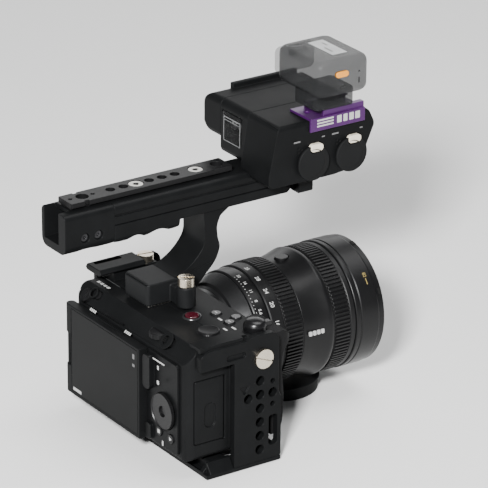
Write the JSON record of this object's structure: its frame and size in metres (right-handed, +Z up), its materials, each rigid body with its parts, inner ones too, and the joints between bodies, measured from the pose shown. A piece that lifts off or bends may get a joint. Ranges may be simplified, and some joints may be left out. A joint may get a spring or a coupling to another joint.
{
  "type": "cinema camera rig",
  "caption": "Caged cinema camera with hinged monitor, wide zoom lens with turning rings, audio top handle with two inputs and a shoe-mounted wireless receiver",
  "frame": {"origin": "mouth of the tripod socket in the underside of the cage, on the surface that the rig stands on, straight below the lens axis", "axes": "+X to the operator's right, +Y forward along the lens, +Z up"},
  "size_m": [0.1489, 0.226, 0.249],
  "materials": {
    "body_black": "fine-grained matte black over magnesium alloy",
    "grip_rubber": "leather-grained black rubber",
    "anodised_black": "bead-blasted and anodised black",
    "bright_steel": "nickel-plated, turned",
    "sensor_board": "coated circuit board and sensor cover",
    "battery_grey": "moulded grey",
    "record_red": "deep red, glossy",
    "button_grey": "satin dark grey",
    "screen_glass": "hard-coated dark screen glass",
    "box_plastic": "fine matte black with soft corners",
    "clear_cover": "clear moulded cover",
    "socket_metal": "dark plated socket shells",
    "cap_rubber": "matte black rubber",
    "tab_cream": "ivory moulded tab",
    "adapter_purple": "purple anodised, lightly glossy",
    "receiver_smoke": "smoke-tinted translucent plastic",
    "display_grey": "unlit reflective display",
    "button_orange": "orange moulded button",
    "lens_black": "satin black painted metal",
    "lens_rubber": "ribbed black rubber over metal",
    "optical_glass": "multi-coated optical glass"
  },
  "bodies": {
    "camera": {"body_front": "body_black", "body_rear": "body_black", "hot_shoe": "bright_steel", "grip": "grip_rubber", "control_panel": "body_black", "mount_ring": "bright_steel", "sensor": "sensor_board", "battery": "battery_grey", "cage_base": "anodised_black", "cage_side_plate": "anodised_black", "cage_screws": "bright_steel", "accessory_bracket": "anodised_black", "handle_foot": "anodised_black", "riser_arm": "anodised_black", "handle_beam": "anodised_black", "handle_end_block": "anodised_black", "accessory_rail": "anodised_black", "handle_screws": "bright_steel", "xlr_box_left": "box_plastic", "xlr_box_middle": "box_plastic", "xlr_box_right": "box_plastic", "xlr_sockets": "socket_metal", "mic_mount": "anodised_black", "shoe_adapter": "adapter_purple", "lens_barrel": "lens_black", "lens_middle_barrel": "lens_black", "front_barrel": "lens_black", "lens_glass": "optical_glass", "lens_support": "cap_rubber"},
    "battery_door": {"battery_door": "body_black"},
    "card_door": {"card_door": "body_black"},
    "record_button": {"record_button": "record_red"},
    "top_button_left": {"top_button_left": "button_grey"},
    "top_button_right": {"top_button_right": "button_grey"},
    "top_button_front": {"top_button_front": "button_grey"},
    "mode_knob": {"mode_knob": "button_grey"},
    "custom_button": {"custom_button": "button_grey"},
    "rear_dial": {"rear_dial": "grip_rubber"},
    "joystick": {"joystick": "grip_rubber"},
    "control_wheel": {"control_wheel": "button_grey"},
    "play_button": {"play_button": "button_grey"},
    "delete_button": {"delete_button": "button_grey"},
    "shutter_lever": {"shutter_lever": "body_black"},
    "monitor": {"monitor_panel": "body_black", "monitor_glass": "screen_glass"},
    "thumb_screw": {"thumb_screw": "bright_steel"},
    "audio_cover": {"audio_cover": "clear_cover"},
    "level_knob_left": {"level_knob_left": "button_grey"},
    "level_knob_right": {"level_knob_right": "button_grey"},
    "xlr_cap_rear": {"xlr_cap_rear": "cap_rubber"},
    "xlr_cap_front": {"xlr_cap_front": "cap_rubber"},
    "release_tab_rear": {"release_tab_rear": "tab_cream"},
    "release_tab_front": {"release_tab_front": "tab_cream"},
    "receiver": {"receiver_case": "receiver_smoke", "receiver_display": "display_grey"},
    "receiver_button": {"receiver_button": "button_orange"},
    "aperture_ring": {"aperture_ring": "lens_black"},
    "zoom_ring": {"zoom_ring": "lens_rubber"},
    "focus_ring": {"focus_ring": "lens_rubber"},
    "focus_hold_button": {"focus_hold_button": "lens_black"}
  },
  "joints": [
    {"name": "monitor_swing", "type": "hinge", "parent": "camera", "child": "monitor", "pos_m": [-0.055, -0.0477, 0.045], "axis": [0, 0, -1], "range_deg": [0, 170]},
    {"name": "battery_door_hinge", "type": "hinge", "parent": "camera", "child": "battery_door", "pos_m": [0.055, 0.014, 0.013], "axis": [1, 0, 0], "range_deg": [0, 80]},
    {"name": "card_door_hinge", "type": "hinge", "parent": "camera", "child": "card_door", "pos_m": [0.0772, -0.0168, 0.046], "axis": [0, 0, 1], "range_deg": [0, 85]},
    {"name": "record_press", "type": "slide", "parent": "camera", "child": "record_button", "axis": [0, 0, -1], "range_m": [0, 0.001], "stiffness_N_per_m": 300},
    {"name": "button_left_press", "type": "slide", "parent": "camera", "child": "top_button_left", "axis": [0, 0, -1], "range_m": [0, 0.0009], "stiffness_N_per_m": 300},
    {"name": "button_right_press", "type": "slide", "parent": "camera", "child": "top_button_right", "axis": [0, 0, -1], "range_m": [0, 0.0009], "stiffness_N_per_m": 300},
    {"name": "button_front_press", "type": "slide", "parent": "camera", "child": "top_button_front", "axis": [0, 0, -1], "range_m": [0, 0.0009], "stiffness_N_per_m": 300},
    {"name": "mode_knob_turn", "type": "hinge", "parent": "camera", "child": "mode_knob", "pos_m": [-0.0463, -0.04058, 0.08318], "axis": [0, -0.774, 0.6332], "range_deg": [-60, 60]},
    {"name": "custom_press", "type": "slide", "parent": "camera", "child": "custom_button", "axis": [0, 0.774, -0.6332], "range_m": [0, 0.0008], "stiffness_N_per_m": 300},
    {"name": "rear_dial_turn", "type": "hinge", "parent": "camera", "child": "rear_dial", "pos_m": [0.034, -0.0365, 0.085], "axis": [0, 0, 1], "continuous": true},
    {"name": "joystick_press", "type": "slide", "parent": "camera", "child": "joystick", "axis": [0, 0.774, -0.6332], "range_m": [0, 0.0008], "stiffness_N_per_m": 300},
    {"name": "control_wheel_turn", "type": "hinge", "parent": "camera", "child": "control_wheel", "pos_m": [0.055, -0.044, 0.0414], "axis": [0, -1, 0], "continuous": true},
    {"name": "play_press", "type": "slide", "parent": "camera", "child": "play_button", "axis": [0, 1, 0], "range_m": [0, 0.0007], "stiffness_N_per_m": 300},
    {"name": "delete_press", "type": "slide", "parent": "camera", "child": "delete_button", "axis": [0, 1, 0], "range_m": [0, 0.0007], "stiffness_N_per_m": 300},
    {"name": "shutter_lever_turn", "type": "hinge", "parent": "camera", "child": "shutter_lever", "pos_m": [0.0705, 0.0126, 0.092], "axis": [0, 0, 1], "range_deg": [-12, 12]},
    {"name": "thumb_screw_turn", "type": "hinge", "parent": "camera", "child": "thumb_screw", "pos_m": [0.0195, -0.0063, 0.1], "axis": [0, 0, 1], "continuous": true},
    {"name": "audio_cover_hinge", "type": "hinge", "parent": "camera", "child": "audio_cover", "pos_m": [-0.01825, 0.0538, 0.1982], "axis": [-1, 0, 0], "range_deg": [0, 100]},
    {"name": "level_left_turn", "type": "hinge", "parent": "camera", "child": "level_knob_left", "pos_m": [-0.023, 0.06, 0.19], "axis": [0, -1, 0], "range_deg": [-140, 140]},
    {"name": "level_right_turn", "type": "hinge", "parent": "camera", "child": "level_knob_right", "pos_m": [-0.0135, 0.06, 0.19], "axis": [0, -1, 0], "range_deg": [-140, 140]},
    {"name": "xlr_cap_rear_pull", "type": "slide", "parent": "camera", "child": "xlr_cap_rear", "axis": [1, 0, 0], "range_m": [0, 0.012]},
    {"name": "xlr_cap_front_pull", "type": "slide", "parent": "camera", "child": "xlr_cap_front", "axis": [1, 0, 0], "range_m": [0, 0.012]},
    {"name": "release_rear_press", "type": "slide", "parent": "camera", "child": "release_tab_rear", "axis": [-1, 0, 0], "range_m": [0, 0.001], "stiffness_N_per_m": 300},
    {"name": "release_front_press", "type": "slide", "parent": "camera", "child": "release_tab_front", "axis": [-1, 0, 0], "range_m": [0, 0.001], "stiffness_N_per_m": 300},
    {"name": "receiver_slide", "type": "slide", "parent": "camera", "child": "receiver", "axis": [0, 1, 0], "range_m": [0, 0.032]},
    {"name": "receiver_button_press", "type": "slide", "parent": "receiver", "child": "receiver_button", "axis": [-1, 0, 0], "range_m": [0, 0.0007], "stiffness_N_per_m": 300},
    {"name": "aperture_turn", "type": "hinge", "parent": "camera", "child": "aperture_ring", "pos_m": [0, 0.043, 0.057], "axis": [0, -1, 0], "range_deg": [-40, 40]},
    {"name": "zoom_turn", "type": "hinge", "parent": "camera", "child": "zoom_ring", "pos_m": [0, 0.06, 0.057], "axis": [0, -1, 0], "range_deg": [0, 65]},
    {"name": "focus_turn", "type": "hinge", "parent": "camera", "child": "focus_ring", "pos_m": [0, 0.104, 0.057], "axis": [0, -1, 0], "continuous": true},
    {"name": "focus_hold_press", "type": "slide", "parent": "camera", "child": "focus_hold_button", "axis": [0, 0, -1], "range_m": [0, 0.0009], "stiffness_N_per_m": 300}
  ]
}
